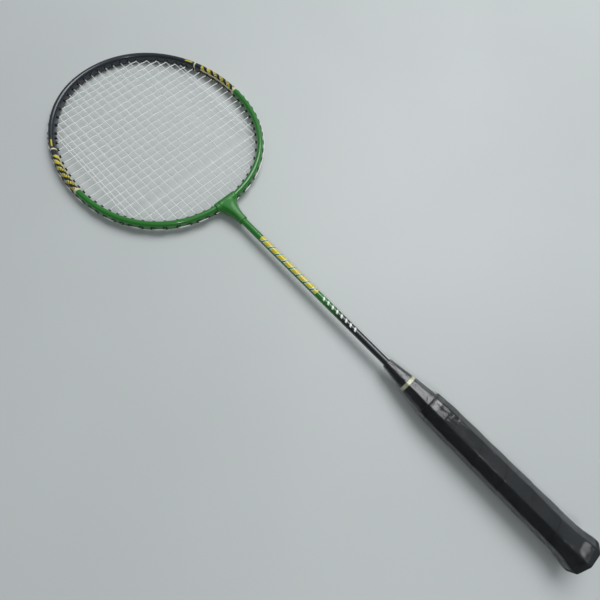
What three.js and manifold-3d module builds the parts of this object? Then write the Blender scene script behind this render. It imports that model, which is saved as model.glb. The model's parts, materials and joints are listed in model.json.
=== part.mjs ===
// Badminton racket: oval alloy hoop strung with a bed of nylon strings, a cast tee joint,
// a steel tube shaft and an octagonal wooden handle wrapped in a grip under a clear sleeve.
// Units are millimetres. Inside the racket's own group x runs from the butt face to the head
// tip, y across the head and z through it. The whole racket lies on a surface at z = 0.

import * as THREE from 'three';
import { mergeVertices } from 'three/addons/utils/BufferGeometryUtils.js';
import Module from 'manifold-3d';

const wasm = await Module();
wasm.setup();

// ---------------------------------------------------------------- driving dimensions

const overallLength = 670;      // butt face to the outer edge of the head tube
const headLength = 238;         // outside of the head tube, along the racket
const headWidth = 209.8;         // outside of the head tube, across the racket
const headEgg = 0.04;           // how much narrower the tip half is than the throat half
const headFullness = 2.09;      // exponent of the head's outline; 2 is a true ellipse
const tubeWidth = 6.8;          // head tube section, in the plane of the head
const tubeHeight = 10.2;        // head tube section, through the head
const tubeWall = 1.0;
const tubeSides = 12;
const tubeSteps = 72;
const seamGap = 1.0;            // between the two butted ends of the head tube

const fitGap = 0.3;             // clearance between pieces that touch

const stringDiameter = 0.7;
const layerOffset = 0.5;        // mains lie this far above the head's middle, crosses below
const mainsPerSide = 11;
const mainSpread = 0.8053;      // the outermost main's place, as a share of the half width
const mainTaper = 0.1754;       // how much the mains draw together towards the sides
const crossCount = 24;
const crossSpread = 0.8456;     // share of the head's length that the crosses take
const firstSharedMain = 5;      // mains from here share their holes with crosses
const sharedPerCorner = 5;

const grommetBore = 2.3;
const grommetBarrel = 3.1;
const grommetFlange = 4.4;
const grommetFlangeThickness = 0.7;
const grommetNub = 1.6;         // how far a barrel stands out of the tube's inner wall
const grommetSides = 6;
const grommetSetsPerSide = 4;
const webThickness = 0.8;       // joins the grommets of a set, inside the tube

const teeArmHalfWidth = 10.8;   // of the tee's head, measured across the racket
const teeWall = 1.0;
const teeStemLength = 24;       // from the hoop's outer edge to the end of the stem
const teeStemDiameter = 9.8;
const insertHalfLength = 11;

const shaftDiameter = 7.0;
const shaftWall = 0.6;
const shaftInTee = 17;          // length of shaft held in the tee
const shaftInHandle = 75;       // length of shaft held in the wood behind the cone

const coneLength = 49;
const coneSmallDiameter = 8.8;
const coneLargeDiameter = 20.8;
const coneWall = 1.5;
const coneNeck = 6;             // stretch of the cone that holds only the shaft
const noseLength = 26;          // of the wooden core, inside the cone

const gripLength = 164;         // butt face to the end of the wrapped grip
const gripFrontWidth = 23;      // across the flats, at the cone
const gripShoulderWidth = 25.6; // across the flats, where the grip reaches its full thickness
const gripShoulderLength = 17;  // from the front edge of the grip back to its full thickness
const gripRearWidth = 27;       // across the flats, where the butt starts to flare
const buttWidth = 34;           // across the flats, at the widest of the butt
const buttFlareStart = 20;      // from the butt face
const buttRim = 4;              // from the butt face to the widest of the butt
const buttEdgeDrop = 0.3;
const wrapThickness = 1.7;
const buttDiscThickness = 1.3;
const tapeWidth = 8;
const tapeThickness = 0.4;
const sleeveThickness = 0.25;

// ---------------------------------------------------------------- derived dimensions

const hoopCentreX = overallLength - headLength / 2;
const hoopRadiusX = (headLength - tubeWidth) / 2;
const hoopRadiusY = (headWidth - tubeWidth) / 2;
const hoopOuterX = overallLength - headLength;
const stemEndX = hoopOuterX - teeStemLength;
const halfTube = tubeWidth / 2;
const tipReach = halfTube + grommetNub + 0.4;
const outerReach = halfTube + fitGap + grommetFlangeThickness + fitGap + stringDiameter / 2;
const octagon = Math.cos(Math.PI / 8);

// ---------------------------------------------------------------- materials

const finish = (color, roughness, metalness) =>
  new THREE.MeshStandardMaterial({ color, roughness, metalness });

const materials = {
  greenPaint: finish(0x2a8a2e, 0.3, 0.1),
  alloy: finish(0xb8bcc0, 0.35, 0.9),
  blackPlastic: finish(0x15181b, 0.45, 0),
  gripRubber: finish(0x191c1f, 0.6, 0),
  wood: finish(0xc9a36c, 0.7, 0),
  tape: finish(0x101214, 0.35, 0),
  nylon: finish(0xeeeee8, 0.35, 0),
  grommetNylon: finish(0x101214, 0.5, 0),
  clearFilm: finish(0xcfd4d6, 0.1, 0),
};

// ---------------------------------------------------------------- shape helpers

function toSolid(geometry) {
  const bare = geometry.clone();
  bare.deleteAttribute('normal');
  bare.deleteAttribute('uv');
  const merged = mergeVertices(bare, 1e-4);
  return new wasm.Manifold(new wasm.Mesh({
    numProp: 3,
    vertProperties: new Float32Array(merged.attributes.position.array),
    triVerts: new Uint32Array(merged.index.array),
  }));
}

function toGeometry(solid) {
  const mesh = solid.getMesh();
  const geometry = new THREE.BufferGeometry();
  const attribute = new THREE.BufferAttribute(new Float32Array(mesh.vertProperties), 3);
  geometry.setAttribute('position', attribute);
  geometry.setIndex(new THREE.BufferAttribute(new Uint32Array(mesh.triVerts), 1));
  return geometry;
}

const joinAll = (solids) => solids.reduce((whole, solid) => whole.add(solid));
const cutAll = (body, cutters) => cutters.reduce((rest, cutter) => rest.subtract(cutter), body);

// A turned piece about the racket's long axis. Points are [x, radius], towards the head on
// the outside and back on the inside; a profile that doesn't meet the axis closes on itself.
function turned(points, segments, phase = 0) {
  const onAxis = points[0][1] === 0;
  const closed = onAxis ? points : [...points, points[0]];
  const profile = closed.map(([x, radius]) => new THREE.Vector2(radius, x));
  return new THREE.LatheGeometry(profile, segments, phase).rotateZ(-Math.PI / 2);
}

// An eight-sided piece with a flat on top. Points are [x, half width across the flats].
function octagonal(points) {
  const corners = points.map(([x, half]) => [x, half / octagon]);
  return turned(corners, 8, Math.PI / 8);
}

// An oval outline with flats at its four extremes; x is the through-the-head direction.
function ovalPoints(height, width) {
  const reach = 1 / Math.cos(Math.PI / tubeSides);
  return Array.from({ length: tubeSides }, (_, k) => {
    const angle = ((k + 0.5) * 2 * Math.PI) / tubeSides;
    return new THREE.Vector2(
      (height / 2) * reach * Math.cos(angle),
      (width / 2) * reach * Math.sin(angle),
    );
  });
}

// ---------------------------------------------------------------- head curve

const fuller = (value) => Math.sign(value) * Math.abs(value) ** (2 / headFullness);

// A point of the head's middle line by its angle: 0 at the tip, PI at the throat.
function headLine(angle) {
  const c = fuller(Math.cos(angle));
  const s = fuller(Math.sin(angle));
  return new THREE.Vector3(
    hoopCentreX + hoopRadiusX * c,
    hoopRadiusY * s * (1 - headEgg * c),
    0,
  );
}

function headNormal(angle) {
  const step = 1e-3;
  const along = headLine(angle + step).sub(headLine(angle - step)).normalize();
  return new THREE.Vector3(along.y, -along.x, 0);
}

// The same point moved outwards by reach and up by z.
function headPoint(angle, reach = 0, z = 0) {
  return headLine(angle).addScaledVector(headNormal(angle), reach).setZ(z);
}

class HeadCurve extends THREE.Curve {
  constructor(from, to) {
    super();
    this.from = from;
    this.to = to;
  }

  getPoint(u, target = new THREE.Vector3()) {
    return target.copy(headLine(this.from + (this.to - this.from) * u));
  }
}

// A closed section carried along the head curve between two angles.
function alongHead(shape, from, to, steps) {
  return new THREE.ExtrudeGeometry(shape, { steps, extrudePath: new HeadCurve(from, to) });
}

// The angle between two limits at which a rising measure of the curve reaches a value.
function angleWhere(measure, value, low, high) {
  const rising = measure(high) > measure(low);
  for (let k = 0; k < 50; k += 1) {
    const middle = (low + high) / 2;
    if (measure(middle) < value === rising) low = middle;
    else high = middle;
  }
  return (low + high) / 2;
}

const armAngle = (halfWidth) =>
  Math.PI - angleWhere((a) => headPoint(a).y, halfWidth, Math.PI * 0.75, Math.PI);

// ---------------------------------------------------------------- string pattern

const innerY = (angle) => headPoint(angle, -tipReach).y;
const innerX = (angle) => headPoint(angle, -tipReach).x;

function mainY(i) {
  const share = (i + 0.5) / (mainsPerSide - 0.5);
  return mainSpread * hoopRadiusY * ((1 + mainTaper) * share - mainTaper * share ** 2);
}

const crossX = (j) => hoopCentreX + crossSpread * hoopRadiusX * ((2 * j) / (crossCount - 1) - 1);

const mainIndex = Array.from({ length: mainsPerSide }, (_, i) => i);
const crossIndex = Array.from({ length: crossCount }, (_, j) => j);

// Hole angles on the side where y is positive; the other side mirrors them.
const mainAtThroat = mainIndex.map((i) => angleWhere(innerY, mainY(i), 0.6 * Math.PI, Math.PI));
const mainAtTip = mainIndex.map((i) => angleWhere(innerY, mainY(i), 0, 0.4 * Math.PI));
const crossAngle = crossIndex.map((j) => angleWhere(innerX, crossX(j), 0, Math.PI));

for (let k = 0; k < sharedPerCorner; k += 1) {
  const i = firstSharedMain + k;
  const last = crossCount - 1 - k;
  mainAtThroat[i] = crossAngle[k] = (mainAtThroat[i] + crossAngle[k]) / 2;
  mainAtTip[i] = crossAngle[last] = (mainAtTip[i] + crossAngle[last]) / 2;
}

// The outermost main has a hole of its own, midway between its neighbours' holes.
const outermost = mainsPerSide - 1;
const afterShared = crossCount - 1 - sharedPerCorner;
mainAtThroat[outermost] = (crossAngle[sharedPerCorner - 1] + crossAngle[sharedPerCorner]) / 2;
mainAtTip[outermost] = (crossAngle[afterShared] + crossAngle[afterShared + 1]) / 2;

const holeAngles = [...new Set([...mainAtThroat, ...mainAtTip, ...crossAngle])]
  .sort((a, b) => b - a);

// The two middle mains pass through the tee, which has its own bores, so no grommet there.
const grommetAngles = holeAngles.slice(1);

// A cutter or barrel frame: local y points out of the hoop at the given angle.
function atHole(geometry, angle) {
  const outward = headNormal(angle);
  const up = new THREE.Vector3(0, 0, 1);
  const basis = new THREE.Matrix4().makeBasis(outward.clone().cross(up), outward, up);
  basis.setPosition(headPoint(angle));
  return geometry.applyMatrix4(basis);
}

const bothSides = (angles) => [...angles, ...angles.map((angle) => -angle)];

// ---------------------------------------------------------------- head

function makeHeadTube() {
  const shape = new THREE.Shape(ovalPoints(tubeHeight, tubeWidth));
  const hollow = ovalPoints(tubeHeight - 2 * tubeWall, tubeWidth - 2 * tubeWall);
  shape.holes.push(new THREE.Path(hollow));
  const seam = armAngle(seamGap / 2);
  const tube = toSolid(alongHead(shape, seam - Math.PI, Math.PI - seam, tubeSteps));
  const side = grommetBarrel + 2 * fitGap;
  const cutters = bothSides(holeAngles).map((angle) =>
    toSolid(atHole(new THREE.BoxGeometry(side, 2 * tubeWidth, side), angle)));
  return toGeometry(cutAll(tube, cutters));
}

function stringBore(angle, radius) {
  return toSolid(atHole(new THREE.CylinderGeometry(radius, radius, 4 * tubeWidth, 8), angle));
}

function makeSeamInsert() {
  const trim = 2 * (tubeWall + fitGap);
  const shape = new THREE.Shape(ovalPoints(tubeHeight - trim, tubeWidth - trim));
  const reach = armAngle(insertHalfLength);
  const insert = toSolid(alongHead(shape, Math.PI - reach, Math.PI + reach, 6));
  const bores = bothSides([holeAngles[0]]).map((angle) => stringBore(angle, grommetBore / 2));
  return toGeometry(cutAll(insert, bores));
}

// A round stem that flares into an oval as wide as the tee's head.
function makeTeeStem(length, halfHeight) {
  const sides = 20;
  const rings = 10;
  const stem = new THREE.CylinderGeometry(1, 1, 1, sides, rings).rotateZ(-Math.PI / 2);
  const position = stem.attributes.position;
  for (let k = 0; k < position.count; k += 1) {
    const along = position.getX(k) + 0.5;
    const flare = along ** 2.4;
    const halfWidth = teeStemDiameter / 2 + (teeArmHalfWidth - teeStemDiameter / 2) * flare;
    const half = teeStemDiameter / 2 + (halfHeight - teeStemDiameter / 2) * along;
    const x = stemEndX + along * length;
    position.setXYZ(k, x, position.getY(k) * halfWidth, position.getZ(k) * half);
  }
  return toSolid(stem);
}

function makeTee() {
  const outerHeight = tubeHeight + 2 * (fitGap + teeWall);
  const outerWidth = tubeWidth + 2 * (fitGap + teeWall);
  const reach = armAngle(teeArmHalfWidth);
  const sleeveShape = new THREE.Shape(ovalPoints(outerHeight, outerWidth));
  const sleeve = toSolid(alongHead(sleeveShape, Math.PI - reach, Math.PI + reach, 6));
  const stem = makeTeeStem(teeStemLength + halfTube, outerHeight / 2);

  const seatShape = new THREE.Shape(ovalPoints(tubeHeight + 2 * fitGap, tubeWidth + 2 * fitGap));
  const seat = toSolid(alongHead(seatShape, Math.PI - 1.4 * reach, Math.PI + 1.4 * reach, 8));
  const channelHalf = layerOffset + stringDiameter / 2 + fitGap;
  const channelDepth = outerReach + stringDiameter / 2 + fitGap;
  const channelShape = new THREE.Shape([
    new THREE.Vector2(-channelHalf, -channelDepth),
    new THREE.Vector2(channelHalf, -channelDepth),
    new THREE.Vector2(channelHalf, 0),
    new THREE.Vector2(-channelHalf, 0),
  ]);
  const channel = toSolid(
    alongHead(channelShape, Math.PI - 1.4 * reach, Math.PI + 1.4 * reach, 8));
  const boreDepth = shaftInTee + fitGap;
  const bore = toSolid(turned([
    [stemEndX - 1, 0],
    [stemEndX - 1, shaftDiameter / 2 + fitGap],
    [stemEndX + boreDepth, shaftDiameter / 2 + fitGap],
    [stemEndX + boreDepth, 0],
  ], 20));
  const stringBores = bothSides([holeAngles[0]])
    .map((angle) => stringBore(angle, grommetBore / 2));
  const inner = stringBores.map((cutter) => cutter.intersect(toSolid(innerSideBlock())));
  return toGeometry(cutAll(sleeve.add(stem), [seat, channel, bore, ...inner]));
}

// Everything on the string side of the hoop's middle line at the throat.
function innerSideBlock() {
  const size = 4 * tubeWidth;
  return new THREE.BoxGeometry(size, 2 * teeArmHalfWidth, size)
    .translate(hoopOuterX + halfTube + size / 2, 0, 0);
}

// ---------------------------------------------------------------- grommets

function makeGrommet() {
  const apothem = Math.cos(Math.PI / grommetSides);
  const inside = grommetBore / 2 / apothem;
  const barrel = grommetBarrel / 2 / apothem;
  const flange = grommetFlange / 2 / apothem;
  const nubEnd = -(halfTube + grommetNub);
  const seat = halfTube + fitGap;
  const profile = [
    [inside, nubEnd], [barrel, nubEnd], [barrel, seat], [flange, seat + 0.25],
    [inside, seat + grommetFlangeThickness], [inside, nubEnd],
  ].map(([radius, y]) => new THREE.Vector2(radius, y));
  return new THREE.LatheGeometry(profile, grommetSides);
}

// A bar inside the tube from one barrel's wall to the next one's.
function makeWeb(fromAngle, toAngle) {
  const from = headPoint(fromAngle);
  const to = headPoint(toAngle);
  const span = from.distanceTo(to);
  const inWall = (grommetBore + grommetBarrel) / 4 + 0.07;
  const bar = new THREE.BoxGeometry(span - 2 * inWall, webThickness, webThickness);
  bar.rotateZ(Math.atan2(to.y - from.y, to.x - from.x));
  const middle = from.clone().add(to).multiplyScalar(0.5);
  return bar.translate(middle.x, middle.y, 0);
}

function makeGrommetSet(angles) {
  const barrels = angles.map((angle) => toSolid(atHole(makeGrommet(), angle)));
  const webs = angles.slice(1).map((angle, k) => toSolid(makeWeb(angles[k], angle)));
  return toGeometry(joinAll([...barrels, ...webs]));
}

function grommetSets() {
  const perSet = Math.ceil(grommetAngles.length / grommetSetsPerSide);
  return Array.from({ length: grommetSetsPerSide }, (_, k) =>
    grommetAngles.slice(k * perSet, (k + 1) * perSet));
}

// ---------------------------------------------------------------- strings

// A string's route through its bends, with each section turned to the bend's half angle.
class Route extends THREE.Curve {
  constructor(points) {
    super();
    this.points = points;
  }

  getPointAt(u) {
    return this.points[Math.round(u * (this.points.length - 1))].clone();
  }

  getSpacedPoints() {
    return this.points.map((point) => point.clone());
  }

  getTangentAt(u) {
    const k = Math.round(u * (this.points.length - 1));
    const here = this.points[k];
    const before = this.points[k - 1] ?? here;
    const after = this.points[k + 1] ?? here;
    const arriving = here.clone().sub(before).normalize();
    const leaving = after.clone().sub(here).normalize();
    return arriving.add(leaving).normalize();
  }
}

function makeString(points) {
  const radius = stringDiameter / 2;
  const section = new THREE.Shape([
    new THREE.Vector2(radius, 0), new THREE.Vector2(0, radius),
    new THREE.Vector2(-radius, 0), new THREE.Vector2(0, -radius),
  ]);
  return new THREE.ExtrudeGeometry(section, {
    steps: points.length - 1,
    extrudePath: new Route(points),
  });
}

// Runs of string back and forth across the head: each run is a pair of hole angles, and
// the string passes outside the hoop from the end of one run to the start of the next.
function stringRoute(runs, z) {
  const points = runs.flatMap(([start, end], k) => {
    const [a, b] = k % 2 ? [end, start] : [start, end];
    return [
      headPoint(a, outerReach, z), headPoint(a, -tipReach, z),
      headPoint(b, -tipReach, z), headPoint(b, outerReach, z),
    ];
  });
  points.shift();
  points.pop();
  return points;
}

function mainRuns() {
  const half = mainIndex.map((i) => [mainAtThroat[i], mainAtTip[i]]);
  const otherHalf = half.map(([throat, tip]) => [-throat, -tip]);
  return [...otherHalf.reverse(), ...half];
}

const crossRuns = () => crossAngle.map((angle) => [angle, -angle]);

// A tie-off: a loop of string drawn tight round a run, part way along it.
function makeKnot([start, end], share, z) {
  const wire = 0.45;
  const ring = stringDiameter / 2 + 0.25 + wire;
  const from = headPoint(start, -tipReach, z);
  const to = headPoint(end, -tipReach, z);
  const direction = to.clone().sub(from).normalize();
  const knot = new THREE.TorusGeometry(ring, wire, 6, 8);
  knot.applyQuaternion(
    new THREE.Quaternion().setFromUnitVectors(new THREE.Vector3(0, 0, 1), direction));
  const place = from.lerp(to, share);
  return knot.translate(place.x, place.y, place.z);
}

// ---------------------------------------------------------------- shaft and handle

function makeShaft() {
  const rear = gripLength - shaftInHandle;
  const front = stemEndX + shaftInTee;
  const outer = shaftDiameter / 2;
  const inner = outer - shaftWall;
  return turned([[rear, inner], [rear, outer], [front, outer], [front, inner]], 20);
}

const coneTipX = gripLength + coneLength;
const coneSlope = (coneLargeDiameter - coneSmallDiameter) / 2 / coneLength;
const coneInnerRadius = (x) => coneLargeDiameter / 2 - coneWall - (x - gripLength) * coneSlope;

function makeCone() {
  const bore = shaftDiameter / 2 + fitGap;
  return turned([
    [gripLength + fitGap, coneInnerRadius(gripLength)],
    [gripLength + fitGap, coneLargeDiameter / 2],
    [coneTipX, coneSmallDiameter / 2],
    [coneTipX, bore],
    [coneTipX - coneNeck, bore],
  ], 24);
}

// Half widths across the flats along the grip, from the flare to the front edge.
const gripProfile = [
  [buttFlareStart, gripRearWidth / 2],
  [gripLength - gripShoulderLength, gripShoulderWidth / 2],
  [gripLength, gripFrontWidth / 2],
];

function gripHalf(x) {
  const next = gripProfile.findIndex(([end], k) => k > 0 && x <= end);
  const [x0, half0] = gripProfile[next - 1];
  const [x1, half1] = gripProfile[next];
  return half0 + ((half1 - half0) * (x - x0)) / (x1 - x0);
}

const gripInset = (depth) => gripProfile.map(([x, half]) => [x, half - depth]);

function makeHandleCore() {
  const under = wrapThickness + fitGap;
  const bore = shaftDiameter / 2 + fitGap;
  const nose = (x) => (coneInnerRadius(x) - fitGap) * octagon;
  const noseEnd = gripLength + noseLength;
  return octagonal([
    [buttDiscThickness + fitGap, 0],
    [buttDiscThickness + fitGap, buttWidth / 2 - under],
    [buttRim, buttWidth / 2 - under],
    ...gripInset(under),
    [gripLength, nose(gripLength)],
    [noseEnd, nose(noseEnd)],
    [noseEnd, bore],
    [gripLength - shaftInHandle - fitGap, bore],
    [gripLength - shaftInHandle - fitGap, 0],
  ]);
}

function makeGripWrap() {
  const rimHalf = buttWidth / 2;
  return octagonal([
    [buttEdgeDrop, rimHalf - wrapThickness],
    [buttEdgeDrop, rimHalf - buttEdgeDrop],
    [buttRim, rimHalf],
    ...gripProfile,
    ...gripInset(wrapThickness).reverse(),
    [buttRim, rimHalf - wrapThickness],
  ]);
}

function makeButtDisc() {
  const half = buttWidth / 2 - wrapThickness - fitGap;
  return octagonal([[0, 0], [0, half], [buttDiscThickness, half], [buttDiscThickness, 0]]);
}

function makeFinishingTape() {
  const rear = gripLength - tapeWidth;
  const inner = gripHalf(rear) + fitGap;
  const front = gripHalf(gripLength) + fitGap;
  return octagonal([
    [rear, inner], [rear, inner + tapeThickness],
    [gripLength, front + tapeThickness], [gripLength, front],
  ]);
}

function makeClearSleeve() {
  const overTape = (x) => gripHalf(x) + 2 * fitGap + tapeThickness;
  const rear = buttFlareStart + 1;
  const shoulder = gripLength - gripShoulderLength;
  const tapeRear = gripLength - tapeWidth - fitGap;
  const inside = [
    [rear, gripHalf(rear) + fitGap],
    [shoulder, gripHalf(shoulder) + fitGap],
    [tapeRear - 2, gripHalf(tapeRear - 2) + fitGap],
    [tapeRear, overTape(tapeRear)],
    [gripLength + fitGap, overTape(gripLength)],
    [gripLength + 2, coneLargeDiameter / 2 + fitGap],
    [coneTipX, coneSmallDiameter / 2 + 1.5 * fitGap],
  ];
  const outside = inside.map(([x, half]) => [x, half + sleeveThickness]);
  return octagonal([...outside, ...inside.reverse()]);
}

// ---------------------------------------------------------------- assembly

const racket = new THREE.Group();

function place(name, geometry, material) {
  const mesh = new THREE.Mesh(geometry, material);
  mesh.name = name;
  racket.add(mesh);
}

place('head_tube', makeHeadTube(), materials.greenPaint);
place('seam_insert', makeSeamInsert(), materials.alloy);
place('tee_joint', makeTee(), materials.greenPaint);
place('shaft', makeShaft(), materials.greenPaint);
place('cone_cap', makeCone(), materials.blackPlastic);
place('handle_core', makeHandleCore(), materials.wood);
place('grip_wrap', makeGripWrap(), materials.gripRubber);
place('finishing_tape', makeFinishingTape(), materials.tape);
place('butt_disc', makeButtDisc(), materials.blackPlastic);
place('clear_sleeve', makeClearSleeve(), materials.clearFilm);

const mains = mainRuns();
const crosses = crossRuns();
place('main_strings', makeString(stringRoute(mains, layerOffset)), materials.nylon);
place('cross_strings', makeString(stringRoute(crosses, -layerOffset)), materials.nylon);

const knots = {
  main_knot_left: [mains[mains.length - 3], 0.045, layerOffset],
  main_knot_right: [mains[2], 0.045, layerOffset],
  cross_knot_tip: [crosses[crossCount - 4], 0.06, -layerOffset],
  cross_knot_throat: [crosses[3], 0.06, -layerOffset],
};
for (const [name, [run, share, z]] of Object.entries(knots)) {
  place(name, makeKnot(run, share, z), materials.nylon);
}

grommetSets().forEach((angles, k) => {
  const mirrored = angles.map((angle) => -angle);
  place(`grommets_left_${k + 1}`, makeGrommetSet(angles), materials.grommetNylon);
  place(`grommets_right_${k + 1}`, makeGrommetSet(mirrored), materials.grommetNylon);
});

// The racket lies on the butt's rim and on the underside of the head's tip.
const tipFoot = overallLength - halfTube + halfTube * Math.tan(Math.PI / tubeSides);
const lieAngle = Math.atan((buttWidth - tubeHeight) / 2 / (tipFoot - buttRim));
racket.rotation.y = lieAngle;
const overhang = outerReach + stringDiameter / 2 - halfTube;
racket.position.set(
  -((overallLength + overhang) / 2) * Math.cos(lieAngle),
  0,
  (buttWidth / 2) * Math.cos(lieAngle) + buttRim * Math.sin(lieAngle),
);

const lyingRacket = new THREE.Group();
lyingRacket.add(racket);

export default lyingRacket;
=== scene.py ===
"""Looks of a badminton racket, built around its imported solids.

The racket's own frame is in millimetres: x runs from the butt face to the head tip, y across
the head and z through it. Every piece is computed there and then laid down where the packed
racket lies. Angles round the head are 0 at the tip and 180 degrees at the throat, and angles
round a section are 0 towards the outside of the head and 90 degrees upwards.
"""

import json
import math

import bmesh
import bpy
import numpy as np
from mathutils import Matrix, Vector


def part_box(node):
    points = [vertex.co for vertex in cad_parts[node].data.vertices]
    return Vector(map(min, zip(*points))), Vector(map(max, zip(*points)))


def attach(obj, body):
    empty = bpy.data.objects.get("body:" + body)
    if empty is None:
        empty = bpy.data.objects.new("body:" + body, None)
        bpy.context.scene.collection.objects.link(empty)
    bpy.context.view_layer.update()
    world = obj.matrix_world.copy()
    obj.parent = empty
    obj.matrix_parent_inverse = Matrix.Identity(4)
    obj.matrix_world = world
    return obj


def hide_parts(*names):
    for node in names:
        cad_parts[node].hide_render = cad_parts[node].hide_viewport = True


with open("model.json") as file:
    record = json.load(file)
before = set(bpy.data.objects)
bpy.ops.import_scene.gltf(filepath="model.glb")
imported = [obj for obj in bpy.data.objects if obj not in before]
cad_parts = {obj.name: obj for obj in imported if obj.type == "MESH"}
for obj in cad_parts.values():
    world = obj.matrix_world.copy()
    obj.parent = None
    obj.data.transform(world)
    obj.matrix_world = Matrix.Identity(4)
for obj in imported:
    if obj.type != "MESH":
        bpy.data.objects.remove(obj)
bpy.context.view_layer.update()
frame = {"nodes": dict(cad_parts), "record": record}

# ---------------------------------------------------------------- sizes, in millimetres

HEAD_CENTRE = 551.0
HEAD_HALF_LENGTH = 115.6
HEAD_HALF_WIDTH = 101.5
HEAD_FULLNESS = 2.09
HEAD_EGG = 0.04
TUBE_HALF_WIDTH = 3.4
TUBE_HALF_HEIGHT = 5.1
TUBE_FULLNESS = 2.2

STRING_RADIUS = 0.42
WEAVE_RISE = 0.37
MAINS_PER_SIDE = 11
MAIN_PITCH = 9.15
MAIN_TAPER = 0.13
CROSS_COUNT = 24
CROSS_PITCH = 8.5
FIRST_SHARED_MAIN = 5
SHARED_PER_CORNER = 5
GROMMET_NUB = 1.6
INNER_REACH = TUBE_HALF_WIDTH + GROMMET_NUB + 0.4
LINK_REACH = TUBE_HALF_WIDTH + 0.95

STEM_END = 408.0
TEE_HALF_WIDTH = 10.8
SHAFT_RADIUS = 3.5
SHAFT_IN_TEE = 17.0
GRIP_LENGTH = 164.0
CONE_TIP = 213.0
CONE_TIP_RADIUS = 4.5
CONE_GROWTH = 5.7
TAPE_WIDTH = 8.0
SHAFT_WALL = 0.6
FILM_THICKNESS = 0.06
FILM_OVER_GRIP = 0.38
FILM_OVER_CONE = 0.3
FILM_REACH = 16.7
SHAFT_REAR = 89.0
BUTT_HALF = 16.25
SPIRAL_PITCH = 26.0

SLASH_START, SLASH_END = 303.0, 381.0
TICK_START, TICK_END = 251.0, 297.0
FADE_START, FADE_END = 262.0, 296.0

# ---------------------------------------------------------------- where the racket lies

butt = next(m for m in frame["record"]["mounts"] if m["name"] == "butt_face")
ALONG = -np.array(butt["axis"])
ACROSS = np.array([0.0, 1.0, 0.0])
UP = np.cross(ALONG, ACROSS)
LIE = np.stack([ALONG, ACROSS, UP])
BUTT = np.array(butt["pos_m"])


def lay(points):
    """Racket millimetres to metres in the shared frame: butt + x·along + y·across + z·up."""
    return BUTT + (np.asarray(points, float) / 1000) @ LIE


# ---------------------------------------------------------------- meshes

def grid(points, closed_u=False, closed_v=True, u=None, v=None):
    """Quads over a (u, v) array of points, with a (u, v) map of its own."""
    nu, nv = points.shape[:2]
    rows = np.arange(nu if closed_u else nu - 1)
    columns = np.arange(nv if closed_v else nv - 1)
    i, j = (a.ravel() for a in np.meshgrid(rows, columns, indexing="ij"))
    i2, j2 = (i + 1) % nu, (j + 1) % nv
    quads = np.stack([i * nv + j, i2 * nv + j, i2 * nv + j2, i * nv + j2], 1)
    u = np.linspace(0, 1, nu + 1) if u is None else u
    v = np.linspace(0, 1, nv + 1) if v is None else v
    corners = [(u[i], v[j]), (u[i + 1], v[j]), (u[i + 1], v[j + 1]), (u[i], v[j + 1])]
    uv = np.stack([np.stack(c, 1) for c in corners], 1)
    return points.reshape(-1, 3), quads, uv


def build(name, parts, material, replaces=(), sharp=40.0):
    """One object from several grids: doubles merged, faces outwards, smooth but for sharp edges."""
    counts = np.cumsum([0] + [len(p[0]) for p in parts])
    points = lay(np.concatenate([p[0] for p in parts]))
    quads = np.concatenate([p[1] + n for p, n in zip(parts, counts)])
    uv = np.concatenate([p[2] for p in parts])
    mesh = bpy.data.meshes.new(name)
    mesh.from_pydata(points.tolist(), [], quads.tolist())
    mesh.uv_layers.new(name="UVMap").data.foreach_set("uv", uv.astype(np.float32).ravel())
    edit = bmesh.new()
    edit.from_mesh(mesh)
    bmesh.ops.remove_doubles(edit, verts=edit.verts, dist=1e-6)
    bmesh.ops.recalc_face_normals(edit, faces=edit.faces)
    edit.to_mesh(mesh)
    edit.free()
    return dress(name, mesh, material, replaces, sharp)


def dress(name, mesh, material, replaces, sharp):
    """Puts a finished mesh into the scene as a named piece that rides on the racket."""
    mesh.polygons.foreach_set("use_smooth", np.ones(len(mesh.polygons), bool))
    mesh.set_sharp_from_angle(angle=math.radians(sharp))
    mesh.materials.clear()
    mesh.materials.append(material)
    piece = bpy.data.objects.new(name, mesh)
    bpy.context.scene.collection.objects.link(piece)
    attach(piece, "root")
    if replaces:
        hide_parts(*replaces)
    return piece


def smoothstep(low, high, value):
    """0 below low, 1 above high, 3s² - 2s³ between."""
    s = np.clip((value - low) / (high - low), 0, 1)
    return s * s * (3 - 2 * s)


def tube(path, radius, sides):
    """Round section along a path: point + radius·(cos a · side + sin a · rise), where side is
    level and square to the path. The two ends are drawn to a point so that they close."""
    ahead = np.gradient(path, axis=0)
    ahead /= np.linalg.norm(ahead, axis=1, keepdims=True)
    side = np.cross(ahead, [0.0, 0.0, 1.0])
    side /= np.linalg.norm(side, axis=1, keepdims=True)
    rise = np.cross(side, ahead)
    a = np.linspace(0, 2 * math.pi, sides, endpoint=False)
    ring = np.cos(a)[None, :, None] * side[:, None] + np.sin(a)[None, :, None] * rise[:, None]
    body = path[:, None] + radius * ring
    ends = [np.repeat(path[k][None, None], sides, 1) for k in (0, -1)]
    return np.concatenate([ends[0], body, ends[1]])


def loft(x, radius):
    """Sections square to the racket's axis: (x, r cos a, r sin a), r given for each x and a."""
    a = np.linspace(0, 2 * math.pi, radius.shape[1], endpoint=False)
    x = np.broadcast_to(np.asarray(x, float)[:, None], radius.shape)
    return np.stack([x, radius * np.cos(a), radius * np.sin(a)], -1)


def octagon(half, count, power=70.0):
    """Radius of an eight-sided section with rounded corners: half · (sum of cos^p)^(-1/p) over
    the eight facet directions, so half is the half width across the flats."""
    a = np.linspace(0, 2 * math.pi, count, endpoint=False)
    facets = np.arange(8) * math.pi / 4
    reach = np.clip(np.cos(a[:, None] - facets), 0, 1) ** power
    return np.asarray(half, float)[:, None] * (reach.sum(1) ** (-1 / power))[None]


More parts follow.
